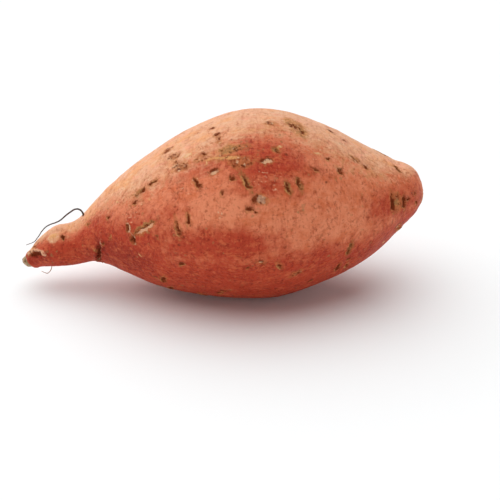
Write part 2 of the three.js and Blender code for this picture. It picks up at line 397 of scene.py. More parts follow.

# Paler patches among the red, and red blushes: their place, their length along the root and their width
# round it in millimetres, and their strength. The red blushes on the front are partly redder skin and
# partly painted shade.
Blush = namedtuple("Blush", "along turn length width strength")
BLOOMS = [Blush(*row) for row in (
    (0.5, 0.44, 36, 15, 1.0), (0.33, 0.26, 64, 15, 1.0), (0.82, 0.27, 40, 12, 0.6),
    (0.33, 0.44, 40, 14, 0.5), (0.7, 0.47, 60, 24, 0.5), (0.72, 0.36, 40, 9, 0.7),
    (0.15, 0.34, 28, 10, 1.0), (0.24, 0.43, 26, 14, 0.8), (0.45, 0.49, 20, 10, 0.7),
    (0.4, 0.9, 60, 24, 0.7), (0.7, 0.75, 70, 24, 0.6), (0.62, 0.03, 40, 16, 0.7),
)]
BLUSHES = [Blush(*row) for row in (
    (0.05, 0.52, 22, 12, 1.5), (0.14, 0.5, 30, 18, 1.0), (0.26, 0.55, 52, 32, 1.6),
    (0.27, 0.5, 50, 30, 1.0), (0.5, 0.5, 60, 17, 1.05), (0.62, 0.368, 36, 18, 1.1),
    (0.61, 0.41, 38, 16, 0.62), (0.69, 0.38, 24, 8, 0.5), (0.56, 0.4, 40, 18, 0.45),
    (0.37, 0.44, 36, 15, 0.6), (0.47, 0.365, 30, 10, 0.5), (0.56, 0.33, 24, 8, 0.5),
    (0.91, 0.455, 24, 16, 0.85), (0.98, 0.42, 24, 24, 0.55), (0.45, 0.02, 90, 26, 0.7),
    (0.75, 0.97, 50, 20, 0.8),
)]


def stain_skin(skin):
    """Paints the pale top, partly painted light from above, and the red blushes and the redder belly,
    partly painted shade.
    """
    edge = np.interp(skin.along, PALE_EDGE_ALONG, PALE_EDGE_TURN)
    sharpness = np.interp(skin.along, PALE_EDGE_ALONG, PALE_EDGE_SHARPNESS)
    back = skin.turn - (0.13 + 0.03 * skin.noise(40 * MM, 21))
    drift = 0.012 * skin.noise(9 * MM, 22) + 0.008 * skin.noise(3 * MM, 23)
    # Paler along the top: partly paler skin and partly painted light from above.
    skin.fields["peach"] = sharpness * (np.minimum(edge - skin.turn, back) + drift)
    # Redder towards the belly, by how far the skin faces down: partly redder skin and partly painted shade
    # of the underside.
    skin.fields["flush"] = 0.9 * smooth_step(-skin.normals[:, :, 2], -0.2, 0.6)
    for name, patches in (("flush", BLUSHES), ("bloom", BLOOMS)):
        for patch in patches:
            skin.raise_to(name, patch.strength * np.exp(-((2 * skin.oval(patch)) ** 2)))


class Print:
    """A mark's outline over the whole skin, in millimetres, and what the mark leaves there."""

    def __init__(self, skin, mark, seed):
        long, wide = skin.local(mark.along, mark.turn, mark.slant)
        self.near = (np.abs(long) < mark.length + 6) & (np.abs(wide) < mark.width + 6)
        self.long, self.wide = long + 0.75 * skin.warp[0], wide + 0.75 * skin.warp[1]
        self.half_length, self.half_width = mark.length / 2, mark.width / 2
        self.oval = np.hypot(self.long / self.half_length, self.wide / self.half_width)
        self.inside = (1 - self.oval) * self.half_width
        self.bowl = np.clip(1 - self.oval**2, 0, 1)
        self.lip = np.exp(-(((self.inside + 0.35) / 0.35) ** 2))
        self.random = random.Random(seed)
        self.height = np.zeros(long.shape)
        self.fields = {}

    def plateau(self, steepness):
        """1 over most of the mark, falling to 0 at its edge."""
        return np.clip(steepness * self.bowl, 0, 1)

    def paint(self, **fields):
        """Sets fields by name: how far each point is inside the paint, in millimetres."""
        self.fields.update(fields)

    def spots(self, count, smallest, largest):
        """How far each point is inside the nearest of some small round spots in the outline."""
        nearest = np.full(self.long.shape, -9.0)
        for _ in range(count):
            reach_out, angle = math.sqrt(self.random.random()) * 0.85, self.random.uniform(0, TURN)
            x = reach_out * math.cos(angle) * self.half_length
            y = reach_out * math.sin(angle) * self.half_width
            size = self.random.uniform(smallest, largest) / 2
            nearest = np.maximum(nearest, size - np.hypot(self.long - x, (self.wide - y) * 1.3))
        return nearest

    def row(self, spacing, smallest, largest):
        """The same for spots in a row along the outline."""
        nearest = np.full(self.long.shape, -9.0)
        count = max(2, round(2 * self.half_length / spacing))
        for number in range(count):
            x = ((number + 0.5) / count * 2 - 1) * self.half_length * 0.92
            y = self.random.uniform(-0.35, 0.35) * self.half_width
            size = self.random.uniform(smallest, largest) / 2
            nearest = np.maximum(nearest, size - np.hypot(self.long - x, self.wide - y))
        return nearest


def pit(p):
    """A small dark dent, browned round its edge, darker on its upper side with painted shade, and pale
    along its lower lip, partly pale skin and partly painted light.
    """
    p.height = -0.7 * p.half_width * p.bowl + 0.1 * p.lip
    p.paint(dark=p.inside + 0.1 - 0.3 * p.wide, tanned=p.inside + 0.5)
    p.paint(straw=np.minimum(0.3 - np.abs(p.inside), p.wide - 0.2 * p.half_width))


def gouge(p):
    """A deep dark gouge, wider at one end, with a pale lip along its lower side, partly pale skin and
    partly painted light.
    """
    lean = 0.75 + 0.35 * np.clip(p.long / p.half_length, -1, 1)
    drop = (1 - np.hypot(p.long / p.half_length, p.wide / (p.half_width * lean))) * p.half_width
    p.height = -1.0 * p.half_width * p.bowl + 0.2 * p.lip
    p.paint(dark=drop + 0.1, tanned=p.inside + 0.6)
    p.paint(straw=np.minimum(0.34 - np.abs(drop + 0.25), p.wide - 0.2 * p.half_width))


def flecks(p):
    """A scatter of small pale grains."""
    p.paint(cork=p.spots(round(p.half_length * p.half_width * 2.4), 0.5, 1.1))
    p.height = 0.12 * np.clip(p.fields["cork"] * 4, 0, 1)


def slit(p):
    """A dark split with a corky body and a pale lip along its lower side, partly pale skin and partly
    painted light.
    """
    p.height = -0.9 * p.half_width * p.bowl + 0.3 * p.lip
    split = 0.5 - np.abs(p.wide - 0.25 * p.half_width * np.sin(p.long))
    p.paint(dark=np.maximum(np.minimum(split, p.inside), p.row(1.7, 0.9, 1.4)), olive=p.inside + 0.15)
    p.paint(straw=np.minimum(0.3 - np.abs(p.inside), p.wide - 0.1), tanned=p.inside + 0.6)


def hole(p):
    """A deep round hole with a pale lip on its upper side, partly pale cork and partly a painted
    highlight.
    """
    p.height = -1.5 * p.half_width * np.sqrt(p.bowl) + 0.4 * p.lip
    p.paint(dark=p.inside - 0.15, tanned=p.inside + 0.6)
    p.paint(cork=np.minimum(0.34 - np.abs(p.inside + 0.2), 0.2 - p.wide))


def hollow(p):
    """The scar of a broken side root: a reddish hollow under a raised pale lip."""
    upper = smooth_step(-p.wide, -0.5, 0.6)
    arch = np.exp(-(((p.inside + 0.5) / 0.6) ** 2))
    p.height = -0.8 * p.half_width * p.bowl + 0.9 * upper * arch
    p.paint(dark=np.minimum(p.inside + 0.05, 0.35 - p.wide))
    p.paint(pink=np.minimum(0.62 - np.abs(p.inside + 0.45), 0.1 - p.wide))


def knob(p):
    """A low corky swelling."""
    p.height = 0.8 * np.clip(1 - p.oval, 0, 1) ** 0.7
    p.paint(peach=3.2 * (1 - p.oval), straw=0.5 * p.inside - 0.55)


def scar(p):
    """A healed pale oval, sunk a little, with painted shade along its upper edge."""
    p.height = -0.3 * p.half_width * p.plateau(4) + 0.12 * p.lip
    p.paint(cork=p.inside - 0.05)
    shadow = np.minimum(0.3 - np.abs(p.inside + 0.1), -0.35 * p.half_width - p.wide)
    p.paint(dark=np.minimum(shadow, 0.6 * p.half_length - p.long), tanned=p.inside + 0.5)


def fleck(p):
    """A small pale fleck that stands up a little."""
    p.height = 0.14 * p.bowl
    p.paint(cork=p.inside - 0.12, straw=p.inside + 0.15)


def scab(p):
    """A grey scab, dark at one end."""
    p.height = 0.3 * p.plateau(3) * (1 + 0.3 * np.sin(2.2 * p.long))
    p.paint(crust=p.inside - 0.15, tanned=p.inside + 0.8)
    dark_end = np.minimum(p.inside + 0.5, -0.55 * p.half_length - p.long)
    p.paint(dark=np.maximum(dark_end, p.spots(4, 0.5, 1.0)))


def scrape(p):
    """A scuffed patch where the skin has dried olive, with freckles at its edge."""
    p.height = -0.16 * p.plateau(3)
    p.paint(olive=p.inside + 0.3, tanned=p.inside + 1.6)
    p.paint(straw=np.minimum(p.spots(8, 0.8, 1.4), 0.9 - np.abs(p.inside + 0.4)))
    p.paint(dark=np.minimum(p.spots(7, 0.5, 0.9), 0.6 - np.abs(p.inside)))


def weathered(p):
    """A dry brown patch crossed by fine dark wrinkles."""
    wrinkles = np.sin(p.long * 2.6 + 1.5 * np.sin(p.wide * 1.4))
    p.height = 0.16 * p.plateau(3) * wrinkles
    p.paint(tanned=p.inside + 1.2, olive=np.minimum(p.inside + 0.3, 0.6 - np.abs(wrinkles + 0.5)))
    p.paint(straw=np.minimum(p.inside + 0.2, 0.3 - np.abs(wrinkles - 0.7)))
    p.paint(dark=np.minimum(p.spots(9, 0.8, 1.6), p.inside))


def smear(p):
    """A dirty stain with a few dark grains."""
    p.height = -0.1 * p.bowl
    p.paint(tanned=p.inside + 0.2, olive=p.inside - 0.5 * p.half_width)
    p.paint(dark=p.spots(max(2, round(p.half_length * p.half_width)), 0.4, 0.8))


def crease(p):
    """A deep fold across the root, dark inside, partly its own colour and partly painted shade, with a
    painted highlight along the side towards the crown.
    """
    p.height = -1.7 * p.half_width * p.bowl + 0.35 * p.lip
    p.paint(dark=p.inside - 0.12 * p.half_width)
    p.paint(pink=np.minimum(0.15 - np.abs(p.inside + 0.25), 0.1 - p.wide))


def peel(p):
    """A curl of lifted skin over a groove darkened with painted shade."""
    groove, curl = np.exp(-(((p.wide + 0.55) / 0.4) ** 2)), np.exp(-(((p.wide - 0.45) / 0.5) ** 2))
    p.height = (0.8 * curl - 0.5 * groove) * p.plateau(1.3)
    p.paint(pink=np.minimum(p.inside + 0.2, 0.75 - np.abs(p.wide - 0.6 - 0.3 * np.sin(1.3 * p.long))))
    p.paint(olive=np.minimum(p.inside + 0.5, -0.1 - p.wide))
    p.paint(dark=np.minimum(p.inside + 0.2, 0.36 - np.abs(p.wide + 0.55)), tanned=p.inside + 0.8)


def chain(p):
    """A row of small dark pits in browned skin."""
    dots = p.row(1.25, 1.1, 1.8)
    p.height = -0.45 * np.clip((dots + 0.2) * 2, 0, 1) + 0.15 * p.lip
    p.paint(dark=dots - 0.08, tanned=p.inside + 0.6, olive=p.inside - 0.1)
    p.paint(straw=np.minimum(p.spots(8, 0.5, 0.9), 0.5 - np.abs(p.inside)))


def freckles(p):
    """A scatter of small dark and pale grains."""
    count = round(p.half_length * p.half_width * 2.4)
    p.paint(dark=p.spots(count, 0.3, 0.9), cork=p.spots(count, 0.3, 0.9), tanned=p.inside + 0.2)
    p.height = -0.12 * np.clip(p.fields["dark"] * 4, 0, 1) + 0.12 * np.clip(p.fields["cork"] * 4, 0, 1)


def crinkles(p):
    """Fine pale wrinkles that run along the root."""
    waves = np.sin(p.wide * 3.1 + 1.3 * np.sin(p.long * 0.9) + 0.8 * np.sin(p.long * 2.3))
    p.paint(pink=np.minimum(0.4 * p.inside, 0.5 * waves - 0.4))
    p.height = 0.1 * p.plateau(2) * waves


def stem_scar(p):
    """The dry scar where the root hung from its stem, cracked from its middle outwards."""
    angle = np.arctan2(p.wide, p.long) + 0.5 * np.sin(2.3 * p.long) + 0.5 * np.cos(1.9 * p.wide)
    cracks = np.abs(np.sin(3.5 * angle))
    p.height = 0.3 * p.lip - 0.9 * p.bowl + 0.25 * p.plateau(3) * cracks
    p.paint(tanned=p.inside + 1.8, olive=p.inside + 0.3)
    p.paint(straw=np.minimum(0.6 - np.abs(p.inside - 0.3), 0.4 * cracks - 0.3))
    p.paint(dark=np.minimum(p.inside, 0.5 - cracks * p.oval * p.half_width))


def streak(p):
    """A thin pale line."""
    p.height = 0.1 * p.bowl
    p.paint(straw=p.inside, tanned=p.inside + 0.7)


RECIPES = {
    made.__name__: made
    for made in (
        pit, gouge, flecks, slit, hole, hollow, knob, scar, fleck, scab, scrape, weathered, smear,
        crease, peel, chain, freckles, crinkles, stem_scar, streak,
    )
}
PAINTS = ("dark", "cork", "straw", "crust", "olive", "tanned", "pink", "peach")


def press_mark(skin, mark, seed):
    """Shapes the skin under a mark and paints its fields."""
    left = Print(skin, mark, seed)
    RECIPES[mark.kind](left)
    skin.height += np.where(left.near, left.height, 0) * MM
    for name in PAINTS:
        values = left.fields.get(name, np.full(left.oval.shape, -9.0))
        skin.raise_to(name, np.clip(np.where(left.near, values, -4), -4, 4))


# The usual length and width of a stray mark of each kind, in millimetres. Other kinds are small dots.
STRAY_SIZES = {
    "slit": (5.0, 1.8),
    "gouge": (4.0, 1.9),
    "chain": (5.0, 1.9),
    "freckles": (6.0, 3.0),
    "scar": (3.6, 1.9),
}
DOT_SIZE = (1.9, 1.5)


def stray_marks(count, seed):
    """Marks for the lower front, the belly and the back, of the same kinds as the chosen ones."""
    rng = random.Random(seed)
    kinds = ["pit"] * 5 + ["slit"] * 2 + ["gouge"] * 2 + ["scar", "fleck", "fleck", "chain", "freckles"]
    for _ in range(count):
        kind = rng.choice(kinds)
        along, turn = rng.uniform(0.1, 0.95), rng.uniform(0.5, 1.2) % 1
        size = rng.uniform(0.7, 1.3)
        length, width = STRAY_SIZES.get(kind, DOT_SIZE)
        slant = rng.uniform(60, 110) if kind in ("slit", "gouge") else rng.uniform(-40, 40)
        yield Mark(kind, along, turn, length * size, width * size, slant)


# The crown's knuckle and the dent beside it: their place, height and spread in millimetres.
SWELLS = ((0.975, 0.27, 0.5, 4), (0.935, 0.25, -1.3, 7))


def shape_skin(skin, settings):
    """Raises lumps, dents and growth rings, and the knuckle of the crown."""
    skin.warp = [skin.noise(1.7 * MM, seed) for seed in (11, 12, 13)]
    lumps = skin.noise(settings.lump_size, 1, 1.5) + 0.5 * skin.noise(settings.lump_size / 2, 2, 1.4)
    dents = skin.noise(settings.dent_size, 3, 1.3) + 0.5 * skin.noise(settings.dent_size / 2, 4)
    rings = np.sin(skin.along * LENGTH / (1.15 * MM) + 4 * skin.noise(14 * MM, 5))
    patchy = smooth_step(skin.noise(18 * MM, 6), -0.1, 0.5)
    calm = smooth_step(skin.along, 0.02, 0.2) * 0.6 + 0.4
    folds = 1 - np.abs(skin.noise(settings.fold_size, 7, 2.2)) * 2.4
    folds += 0.6 * skin.noise(settings.fold_size, 8, 0.5)
    skin.height += settings.lump_height * lumps * calm
    skin.height += settings.dent_height * dents
    skin.height += settings.fold_height * folds
    skin.height += settings.ring_height * rings * patchy
    for along, turn, rise, spread in SWELLS:
        long, wide = skin.local(along, turn, 0)
        skin.height += rise * MM * np.exp(-((long / spread) ** 2 + (wide / (1.6 * spread)) ** 2))


def cut_face(skin):
    """Roughens the cut face of the tail, and marks it and its rim."""
    rows = np.arange(len(skin.plan))[:, None]
    face = smooth_step(rows, CAP_RINGS * 0.42, CAP_RINGS * 0.32) * np.ones_like(skin.height)
    skin.fields["cut"] = face
    soiled = smooth_step(np.abs(skin.turn - 0.66), 0.1, 0.22)
    skin.raise_to("dark", (0.5 * soiled - 0.3) * face - 4 * (1 - face))
    skin.fields["rays"] = np.cos(skin.turn * TURN * 9 + skin.warp[1]) * np.ones_like(face)
    rim = np.exp(-(((rows - CAP_RINGS * 0.5) / 3.0) ** 2))
    skin.height += (0.2 * rim - 0.35 * face) * MM * (1 + 0.6 * skin.warp[0])


# ---- Meshes ----


def face_list(plan):
    """Vertex starts of each ring, and the faces that join the rings and close both ends."""
    starts = np.cumsum([1] + [ring.sides for ring in plan])
    faces = []
    first, last = plan[0].sides, plan[-1].sides
    end = int(starts[-1])
    for side in range(first):
        faces.append((0, 1 + (side + 1) % first, 1 + side))
    for row in range(len(plan) - 1):
        a, b = plan[row].sides, plan[row + 1].sides
        low, high = int(starts[row]), int(starts[row + 1])
        steps = min(a, b)
        for side in range(steps):
            nearer = [low + (side * a // steps + k) % a for k in range(a // steps + 1)]
            further = [high + (side * b // steps + k) % b for k in range(b // steps + 1)]
            faces.append((*nearer, *reversed(further)))
    tail = int(starts[-2])
    for side in range(last):
        faces.append((end, tail + side, tail + (side + 1) % last))
    return faces


def picked(values, plan):
    """The values of a full grid at the mesh's vertices, with the mean of an end ring at each end."""
    rows = [values[:1].mean(axis=(0, 1), keepdims=True)[0]]
    rows += [values[row, :: FULL_SIDES // ring.sides] for row, ring in enumerate(plan)]
    rows += [values[-1:].mean(axis=(0, 1), keepdims=True)[0]]
    return np.concatenate(rows)


def linked(name, data):
    """A new object of the scene that holds a mesh, a curve, a light or a camera."""
    made = bpy.data.objects.new(name, data)
    bpy.context.scene.collection.objects.link(made)
    return made


def plain_object(name, points, faces, material):
    """A smooth mesh object at the origin."""
    mesh = bpy.data.meshes.new(name)
    mesh.from_pydata([tuple(p) for p in points], [], faces)
    mesh.validate()
    mesh.shade_smooth()
    mesh.materials.append(material)
    return linked(name, mesh)


def add_field(mesh, name, values):
    made = mesh.attributes.new(name, "FLOAT", "POINT")
    made.data.foreach_set("value", values.astype(np.float32))


# ---- Shader maths ----


class Value:
    """A shader socket that can be used in sums."""

    def __init__(self, tree, socket):
        self.tree, self.socket = tree, socket

    def maths(self, operation, *others):
        inputs = dict(enumerate((self, *others)))
        return self.tree.node("Math", {"operation": operation}, inputs)

    def __add__(self, other):
        return self.maths("ADD", other)

    def __sub__(self, other):
        return self.maths("SUBTRACT", other)

    def __rsub__(self, other):
        return (self * -1) + other

    def __mul__(self, other):
        return self.maths("MULTIPLY", other)

    def __truediv__(self, other):
        return self.maths("DIVIDE", other)

    __radd__ = __add__
    __rmul__ = __mul__

    def step(self, low, high):
        """0 below low and 1 above high, with a smooth rise between."""
        settings = {"interpolation_type": "SMOOTHSTEP"}
        return self.tree.node("MapRange", settings, {0: self, 1: low, 2: high, 3: 0.0, 4: 1.0})


class Tree:
    """A shader node tree, emptied to be built again."""

    def __init__(self, node_tree):
        self.links, self.nodes = node_tree.links, node_tree.nodes
        self.nodes.clear()

    def node(self, kind, settings=None, inputs=None, output=0):
        """A new node of a kind: first its settings, then the values or links of its sockets."""
        made = self.nodes.new("ShaderNode" + kind)
        for name, value in (settings or {}).items():
            setattr(made, name, value)
        for key, value in (inputs or {}).items():
            if isinstance(value, Value):
                self.links.new(value.socket, made.inputs[key])
            else:
                made.inputs[key].default_value = value
        return Value(self, made.outputs[output]) if made.outputs else None

    def field(self, name):
        return self.node("Attribute", {"attribute_name": name}, output=2)

    def place(self, stretch=(1, 1, 1)):
        """The piece's own coordinates, drawn out along its axes."""
        here = self.node("TexCoord", output=3)
        return self.node("Mapping", None, {0: here, 3: tuple(1 / share for share in stretch)})

    def noise(self, size, place, detail=3.0, roughness=0.55):
        """Noise between about -1 and 1, with lumps this wide in metres."""
        inputs = {"Vector": place, "Scale": 1 / size, "Detail": detail, "Roughness": roughness}
        return (self.node("TexNoise", None, inputs) - 0.5) * 3.5

    def bent(self, place, size, amount):
        """A place moved about by noise with lumps of a size, by an amount, both in metres."""
        inputs = {"Vector": place, "Scale": 1 / size, "Detail": 2.0}
        centred = self.vector("SUBTRACT", self.node("TexNoise", None, inputs, 1), (0.5, 0.5, 0.5))
        return self.vector("MULTIPLY_ADD", centred, (amount * 4,) * 3, place)

    def vector(self, operation, *values):
        return self.node("VectorMath", {"operation": operation}, dict(enumerate(values)))

    def spots(self, size, place, share, radius):
        """1 in spots of many sizes: how far apart they may be, how many there are and how wide."""
        inputs = {"Vector": place, "Scale": 1 / size}
        distance_off = self.node("TexVoronoi", None, inputs)
        chance = self.node("SeparateColor", None, {0: self.node("TexVoronoi", None, inputs, 1)})
        return ((chance - (1 - share)) * (radius / share) - distance_off).step(-0.03, 0.06)

    def mix(self, share, first, second, blend="MIX"):
        """A colour part of the way from the first to the second."""
        settings = {"data_type": "RGBA", "blend_type": blend}
        first, second = (c if isinstance(c, Value) else (*c, 1) for c in (first, second))
        return self.node("Mix", settings, {0: share, 6: first, 7: second}, 2)

    def surface(self, **inputs):
        """Ends the tree in a Principled shader with these sockets."""
        named = {name.replace("_", " "): value for name, value in inputs.items()}
        shader = self.node("BsdfPrincipled", None, named)
        self.node("OutputMaterial", None, {0: shader})


class Coat:
    """A colour built up in layers, from the first to the last."""

    def __init__(self, tree, first):
        self.tree, self.colour = tree, first

    def lay(self, share, colour, blend="MIX"):
        self.colour = self.tree.mix(share, self.colour, colour, blend)


def new_material(name):
    """A material and its emptied node tree."""
    material = bpy.data.materials.new(name)
    material.use_nodes = True
    return material, Tree(material.node_tree)


def skin_material(settings):
    material, tree = new_material("skin")
    here = tree.place()
    lengthwise = tree.bent(tree.place((3, 1, 1)), 7 * MM, 0.9 * MM)
    crosswise = tree.bent(tree.place((1, 3.5, 3.5)), 7 * MM, 0.9 * MM)
    bent = tree.bent(here, 1.4 * MM, 0.35 * MM)
    ragged = tree.noise(0.8 * MM, here, 2) * 0.3 + tree.noise(1.6 * MM, bent, 2) * 0.35
    ragged = ragged + tree.noise(3.0 * MM, here, 2) * 0.25

    def marked(name, raggedness, low, high):
        """How strongly a field of the skin shows, with a ragged edge."""
        return (tree.field(name) + ragged * raggedness).step(low, high)

    def swirls(size, stretch):
        """Noise that is bent and drawn out along the root."""
        return tree.noise(size, tree.bent(tree.place((stretch, 1, 1)), 3 * MM, 1 * MM), 3)

    blotch = tree.noise(12 * MM, here, 3)
    patch = tree.noise(5 * MM, here, 3)
    streak = tree.noise(2.6 * MM, lengthwise, 3)
    bands = tree.noise(2.2 * MM, crosswise, 3)
    grain = tree.noise(1.4 * MM, here, 3, 0.75)
    mottle = tree.noise(3.0 * MM, here, 3, 0.7)

    # Broad colour: red skin, redder and darker in its blushes and towards the belly, partly painted shade,
    # and paler along the top, partly painted light from above.
    bloom = tree.field("bloom")
    rosy = (patch * 0.7 + streak * 0.8 + bloom * 1.1).step(-0.7, 1.0)
    coat = Coat(tree, tree.mix(rosy, settings.flesh_tone, settings.rose))
    redness_and_shade = tree.field("flush") + blotch * 0.2 + mottle * 0.2 + streak * 0.15
    flush = (redness_and_shade - bloom * 0.2).step(0.0, 0.8)
    coat.lay(flush * 0.95, settings.flush)
    # Painted shade: darkens the reddest parts, most of all the underside.
    coat.lay(redness_and_shade.step(0.9, 1.5), (0.74, 0.6, 0.6), "MULTIPLY")
    # Partly paler skin and partly painted light from above.
    pale = (tree.field("peach") + mottle * 0.5 + streak * 0.35 + grain * 0.3).step(-0.8, 1.0)
    coat.lay(pale * 0.93, settings.peach)
    warm = (swirls(8 * MM, 1.6) + bloom * 0.7).step(0.0, 0.8)
    coat.lay(warm * pale * 0.7, settings.apricot)
    # Pink strokes on the pale top: partly pinker skin and partly a painted pinkish sheen.
    pink_strokes_and_sheen = swirls(4.5 * MM, 2).step(0.0, 0.6)
    coat.lay(pink_strokes_and_sheen * pale * 0.6, settings.blush)

    # Weathered skin: tan patches, mostly where the pale top ends.
    shoulder = 1 - (pale - 0.5).maths("ABSOLUTE").step(0.1, 0.55)
    tan = (blotch * 0.5 + mottle * 0.5 + shoulder * 0.6 - 0.1).step(0.0, 1.0)
    coat.lay(tan * (1 - flush) * 0.55, settings.tan)
    tanned = marked("tanned", 1.5, -0.5, 0.8)
    coat.lay(tanned * 0.6, settings.tan)

    # Fine streaks and wrinkles both ways, and the grain of the skin. The furrows, rings and hollows darken
    # where the bump below sinks, and the ridges and veins lighten where it rises: partly the skin's own
    # grain and partly painted shade and light of that relief.
    veins = 1 - tree.noise(2.8 * MM, lengthwise, 2).maths("ABSOLUTE").step(0.0, 0.3)
    rings = 1 - tree.noise(2.8 * MM, crosswise, 2).maths("ABSOLUTE").step(0.0, 0.22)
    somewhere = tree.noise(9 * MM, here, 2)
    ridges = (streak * 0.4 + grain * 1.0).step(0.05, 0.7)
    light = tree.mix(flush, settings.rose, settings.flesh_tone)
    light = tree.mix(pale, light, settings.cork)
    coat.lay(ridges * 0.5, light)
    coat.lay(veins * somewhere.step(-0.4, 0.6) * 0.4, light)
    coat.lay(rings * (1 - somewhere.step(-0.4, 0.6)) * 0.4, (0.72, 0.5, 0.4), "MULTIPLY")
    furrows = (bands * 0.4 - grain * 1.0 + streak * 0.2).step(0.05, 0.7)
    coat.lay(furrows * (0.9 - pale * 0.45), (0.63, 0.5, 0.43), "MULTIPLY")
    # Painted shade in the hollows of the bump.
    hollows = (mottle + bands * 0.4).step(0.1, 0.8)
    coat.lay(hollows * 0.7, (0.82, 0.65, 0.55), "MULTIPLY")
    coat.lay((streak - mottle * 0.6).step(0.2, 0.9) * 0.4, light)

    # Scattered grains.
    worn = (patch + blotch).step(-0.4, 0.8)
    brown = tree.spots(2.3 * MM, bent, 0.28, 0.42) * worn
    coat.lay(brown * (0.6 - pale * 0.3), settings.olive)
    pale_grains = tree.spots(2.2 * MM, tree.bent(here, 1.2 * MM, 0.4 * MM), 0.3, 0.34)
    coat.lay(pale_grains * 0.5, light)
    black = tree.spots(5.5 * MM, bent, 0.22, 0.15)
    coat.lay(black * (0.75 - pale * 0.3), settings.dark)

    # Marks.
    bruise = marked("dark", 0.8, -1.5, 0.2)
    coat.lay(bruise * 0.55, (0.6, 0.42, 0.34), "MULTIPLY")
    olive = marked("olive", 1.2, -0.3, 0.5)
    coat.lay(olive * 0.75, tree.mix(grain.step(-0.5, 0.7), settings.olive, settings.tan))
    pink = marked("pink", 0.6, -0.1, 0.3)
    coat.lay(pink * 0.8, tree.mix(grain.step(-0.4, 0.6), settings.peach, settings.cork))
    straw = marked("straw", 0.6, -0.2, 0.4)
    coat.lay(straw * 0.75, settings.straw)
    cork = marked("cork", 0.6, -0.15, 0.3)
    coat.lay(cork * 0.7, settings.cork)
    crust = marked("crust", 1.0, -0.2, 0.5)
    coat.lay(crust * 0.65, tree.mix(grain.step(-0.3, 0.5), settings.crust, settings.cork))
    cut = tree.field("cut").step(0.3, 0.7)
    fibres = (tree.field("rays") * 0.6 + grain + ragged).step(-0.5, 0.7)
    coat.lay(cut, tree.mix(fibres, settings.mould, settings.cut))
    dark = marked("dark", 1.1, -0.35, 0.45)
    coat.lay(dark * 0.95, settings.dark)

    wrinkles = tree.noise(1.5 * MM, lengthwise, 2) * 0.12 + bands * 0.08 + grain * 0.15
    wrinkles = wrinkles - mottle * 0.12 + veins * 0.05 - rings * 0.05
    marks = cork * 0.15 + pale_grains * 0.08 - brown * 0.08 - black * 0.2 - dark * 0.35
    relief = (wrinkles + marks + crust * ragged * 0.4) * MM
    normal = tree.node("Bump", None, {"Strength": 1.0, "Distance": 1.0, "Height": relief})
    rough = 0.55 + patch * 0.05 + cork * 0.2 + dark * 0.3 + tanned * 0.15 + olive * 0.1
    tree.surface(Base_Color=coat.colour, Roughness=rough, Normal=normal, Specular_IOR_Level=0.16)
    return material


def hair_material(name, tone):
    material, tree = new_material(name)
    here = tree.place((4, 1, 1))
    worn = tree.noise(0.5 * MM, here, 2)
    base = tree.mix(worn.step(-0.1, 0.3) * 0.6, tone, tuple(min(1, c * 2.2) for c in tone))
    normal = tree.node("Bump", None, {"Strength": 0.6, "Distance": 1.0, "Height": worn * 0.12 * MM})
    tree.surface(Base_Color=base, Roughness=0.75 + worn * 0.2, Normal=normal)
    return material


# ---- Geometry nodes ----


class NodeGroup:
    """A geometry node tree with named inputs."""

    def __init__(self, name):
        self.tree = bpy.data.node_groups.new(name, "GeometryNodeTree")
        self.tree.interface.new_socket("Geometry", in_out="INPUT", socket_type="NodeSocketGeometry")
        self.tree.interface.new_socket("Geometry", in_out="OUTPUT", socket_type="NodeSocketGeometry")
        self.entry = self.tree.nodes.new("NodeGroupInput")
        self.values = {}

    def value(self, name, kind, value):
        """Adds a named input and returns its socket."""
        made = self.tree.interface.new_socket(name, in_out="INPUT", socket_type="NodeSocket" + kind)
        self.values[made.identifier] = value
        return self.entry.outputs[name]

    def node(self, kind, settings=None, inputs=None):
        made = self.tree.nodes.new(kind)
        for name, value in (settings or {}).items():
            setattr(made, name, value)
        for key, value in (inputs or {}).items():
            if isinstance(value, bpy.types.NodeSocket):
                self.tree.links.new(value, made.inputs[key])
            else:
                made.inputs[key].default_value = value
        return made

    def close(self, geometry, material):
        """Ends the tree: real geometry, smooth, in its material."""
        real = self.node("GeometryNodeRealizeInstances", None, {0: geometry})
        smooth = self.node("GeometryNodeSetShadeSmooth", None, {0: real.outputs[0]})
        worn = self.node("GeometryNodeSetMaterial", None, {0: smooth.outputs[0], "Material": material})
        self.node("NodeGroupOutput", None, {0: worn.outputs[0]})

    def grown(self, name, start):
        """The plain mesh that the tree makes from an object, as a new object. The start is removed."""
        modifier = start.modifiers.new(name, "NODES")
        modifier.node_group = self.tree
        for identifier, value in self.values.items():
            modifier[identifier] = value
        bpy.context.view_layer.update()
        graph = bpy.context.evaluated_depsgraph_get()
        mesh = bpy.data.meshes.new_from_object(start.evaluated_get(graph), depsgraph=graph)
        start.modifiers.remove(modifier)
        bpy.data.objects.remove(start)
        return linked(name, mesh)


# ---- Hair roots ----

# A hair root's path in millimetres from its foot, along the root and upwards. Each path starts under
# the skin. The foot stands at the right end of its node's box, and the highest point after the start
# at the top of the box.
HAIR_PATHS = {
    "hair_root_long": [
        (1.4, -0.6), (0.9, 2.6), (-1.1, 3.7), (-4.8, 1.9), (-9.4, -1.5), (-14.6, -3.6), (-17.0, -6.1),
        (-19.2, -9.6), (-21.2, -12.2), (-24.8, -13.9),
    ],
    "hair_root_curl": [(0.3, 1.4), (0, 0), (-0.2, -1.2), (-1.4, -2.6), (-3.2, -3.4), (-4.9, -3.2)],
}

# The furthest that a hair root bends to a side, in millimetres, and the bends that it makes.
HAIR_SWAY = 1.5
HAIR_BENDS = 2.6


